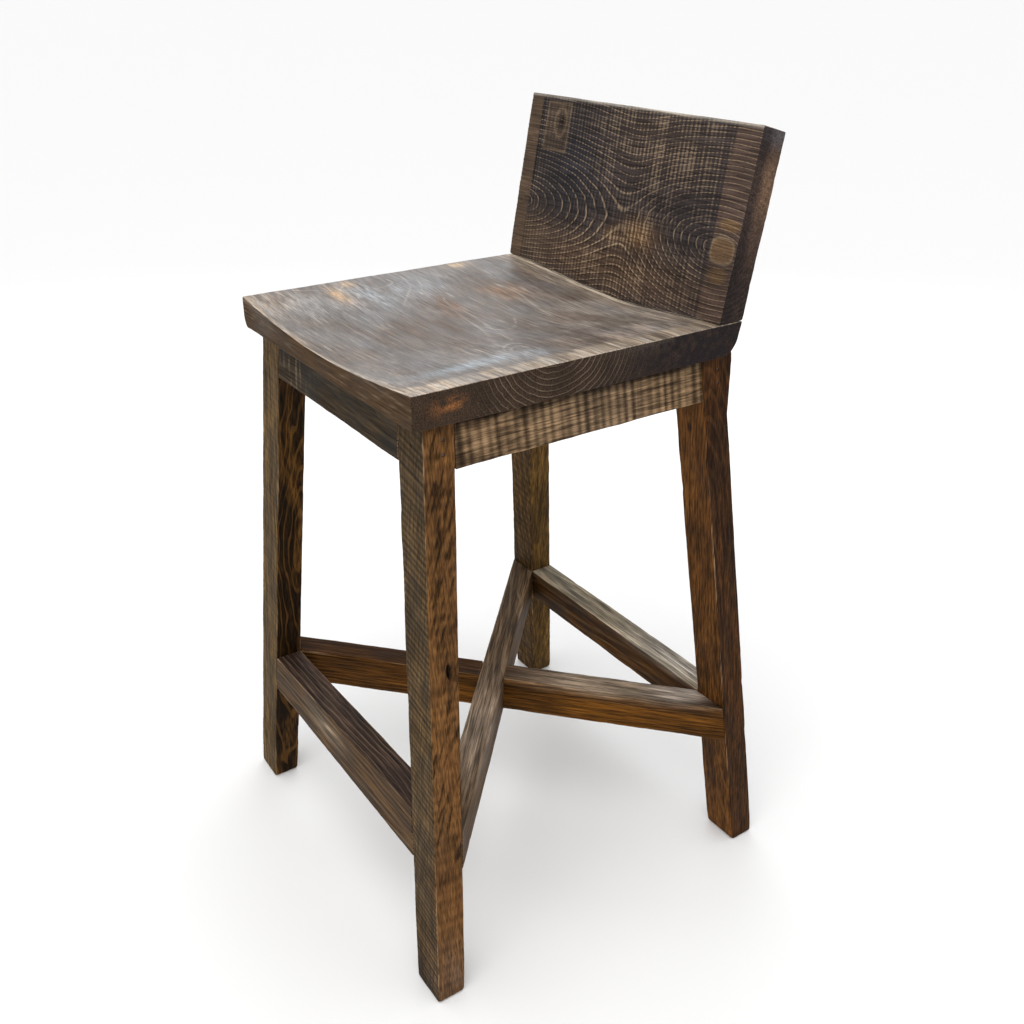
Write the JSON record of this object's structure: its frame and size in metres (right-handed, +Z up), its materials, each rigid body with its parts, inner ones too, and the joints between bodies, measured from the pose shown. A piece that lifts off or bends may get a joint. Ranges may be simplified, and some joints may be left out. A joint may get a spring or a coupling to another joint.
{
  "type": "bar stool",
  "caption": "Wooden bar stool with a scooped plank seat, low leaning backrest, splayed legs, a front footrest and crossed diagonal stretchers.",
  "frame": {"origin": "on the floor under the middle of the footprint", "axes": "+Z up, the front of the stool and its footrest face -Y, +X to the right when looking at the back from the front"},
  "size_m": [0.5534, 0.5312, 0.978],
  "materials": {
    "seat_wood": "stained and worn, half-gloss clear coat",
    "backrest_wood": "dark stain over raised grain and saw marks, satin",
    "leg_wood": "rough-sawn, brown stain, satin",
    "apron_wood": "rough-sawn, brown stain, matt",
    "stretcher_wood": "stained and worn, satin",
    "block_wood": "bare softwood",
    "fastener_steel": "bright steel, lightly dulled"
  },
  "bodies": {
    "root": {"apron_front": "apron_wood", "apron_left": "apron_wood", "apron_nail_front_left_1": "fastener_steel", "apron_nail_front_left_2": "fastener_steel", "apron_nail_front_right_1": "fastener_steel", "apron_nail_front_right_2": "fastener_steel", "apron_nail_rear_left_1": "fastener_steel", "apron_nail_rear_left_2": "fastener_steel", "apron_nail_rear_right_1": "fastener_steel", "apron_nail_rear_right_2": "fastener_steel", "apron_rear": "apron_wood", "apron_right": "apron_wood", "backrest_plank": "backrest_wood", "backrest_screw_1": "fastener_steel", "backrest_screw_2": "fastener_steel", "backrest_screw_3": "fastener_steel", "backrest_screw_4": "fastener_steel", "corner_block_front_left": "block_wood", "corner_block_front_right": "block_wood", "corner_block_rear_left": "block_wood", "corner_block_rear_right": "block_wood", "diagonal_front_left": "stretcher_wood", "diagonal_front_right": "stretcher_wood", "diagonal_nail_front_left": "fastener_steel", "diagonal_nail_front_right": "fastener_steel", "diagonal_nail_rear_left": "fastener_steel", "diagonal_nail_rear_right": "fastener_steel", "footrest": "stretcher_wood", "lap_screw": "fastener_steel", "leg_front_left": "leg_wood", "leg_front_right": "leg_wood", "leg_rear_left": "leg_wood", "leg_rear_right": "leg_wood", "seat_board_front": "seat_wood", "seat_board_middle": "seat_wood", "seat_board_rear": "seat_wood", "seat_screw_front_left": "fastener_steel", "seat_screw_front_right": "fastener_steel", "seat_screw_rear_left": "fastener_steel", "seat_screw_rear_right": "fastener_steel", "side_apron_nail_front_left": "fastener_steel", "side_apron_nail_front_right": "fastener_steel", "side_apron_nail_rear_left": "fastener_steel", "side_apron_nail_rear_right": "fastener_steel", "stretcher_nail_front_left": "fastener_steel", "stretcher_nail_front_right": "fastener_steel", "stretcher_nail_rear_left": "fastener_steel", "stretcher_nail_rear_right": "fastener_steel", "stretcher_rear": "stretcher_wood"}
  },
  "joints": []
}
